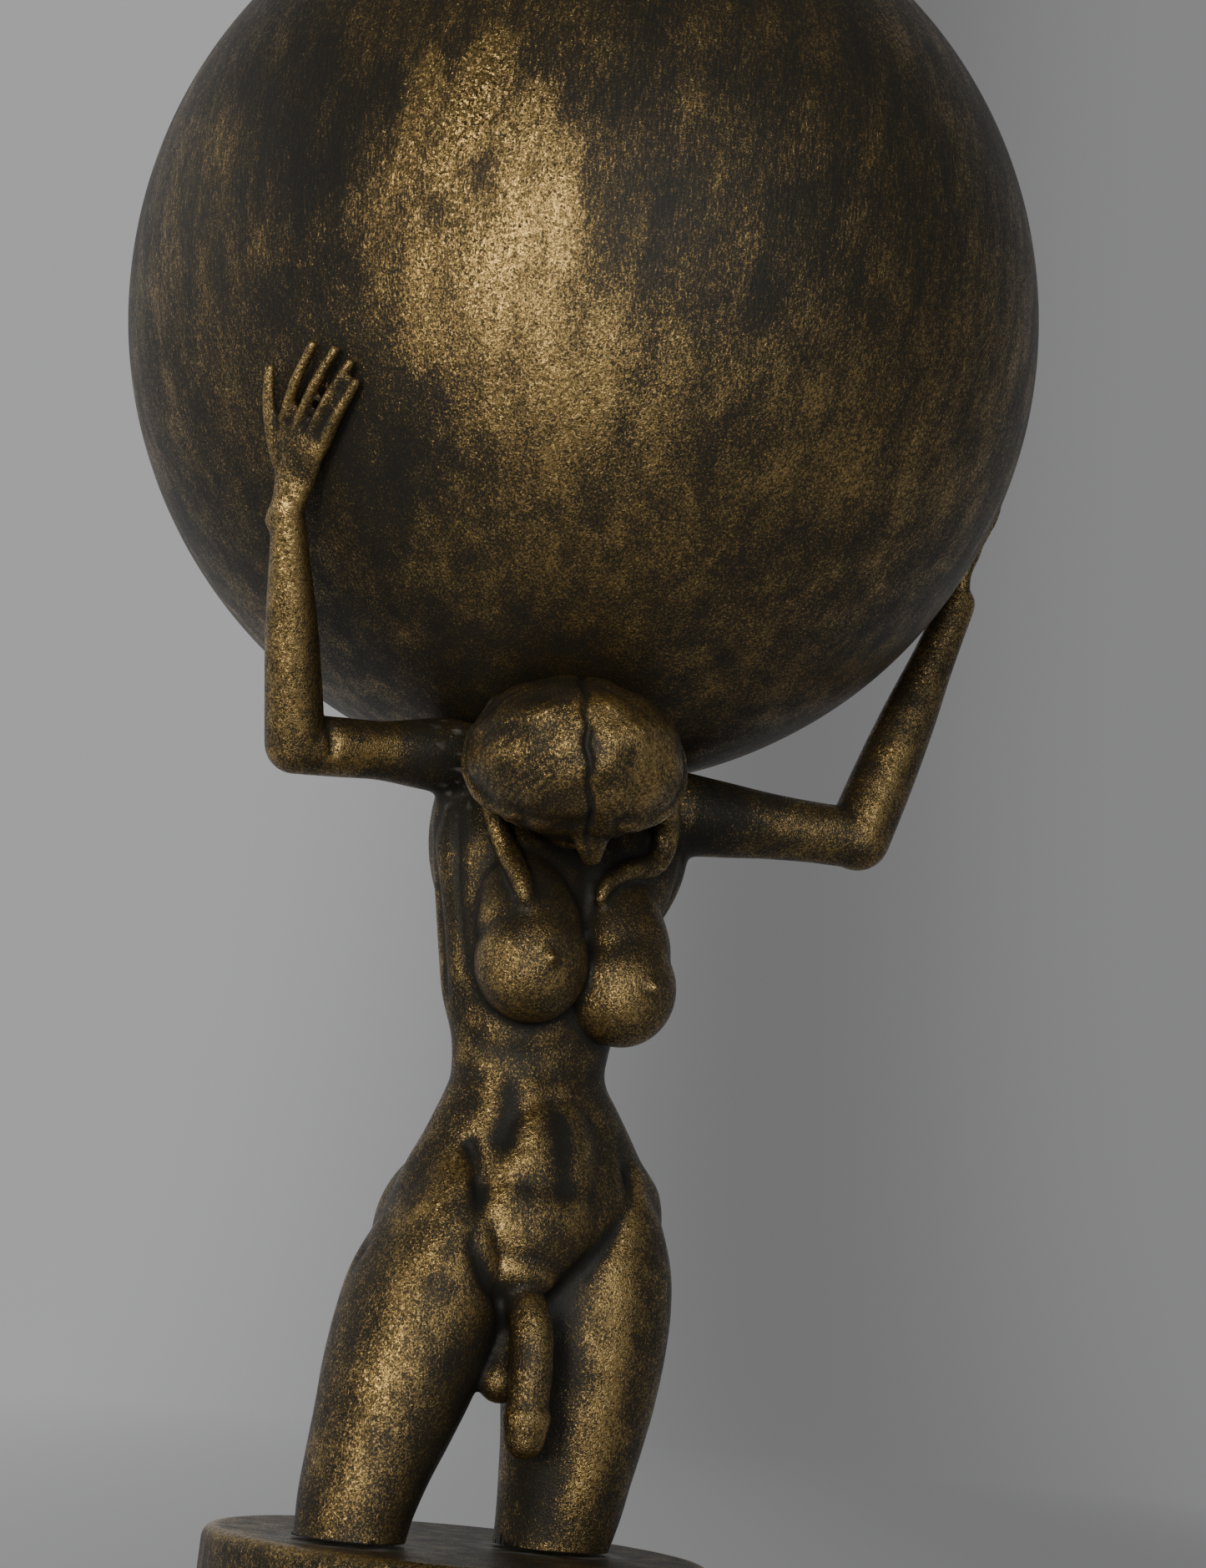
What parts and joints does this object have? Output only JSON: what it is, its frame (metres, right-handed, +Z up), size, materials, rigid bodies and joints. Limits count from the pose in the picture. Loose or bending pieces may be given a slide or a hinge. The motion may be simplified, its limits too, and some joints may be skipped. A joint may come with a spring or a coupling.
{
  "type": "atlas statue",
  "caption": "Small dark bronze-painted statuette of a nude standing figure, bowed under a large plain globe held on its shoulders with raised hands, on a round base.",
  "frame": {"origin": "centre of the base's underside, on the surface that the statue stands on", "axes": "+Z up through the base and the globe, -Y the way the figure's chest faces, +X towards the figure's left hand"},
  "size_m": [0.0801, 0.08, 0.1527],
  "materials": {
    "base_paint": "cast resin under a near-black coat, dry-brushed with dull gold paint on its edge",
    "figure_paint": "cast resin under a near-black coat, dry-brushed with gold metallic paint on every raised form",
    "globe_paint": "smooth cast resin ball under a near-black coat, with gold metallic paint brushed and dabbed over it"
  },
  "bodies": {
    "root": {"base": "base_paint", "figure": "figure_paint", "globe": "globe_paint"}
  },
  "joints": []
}
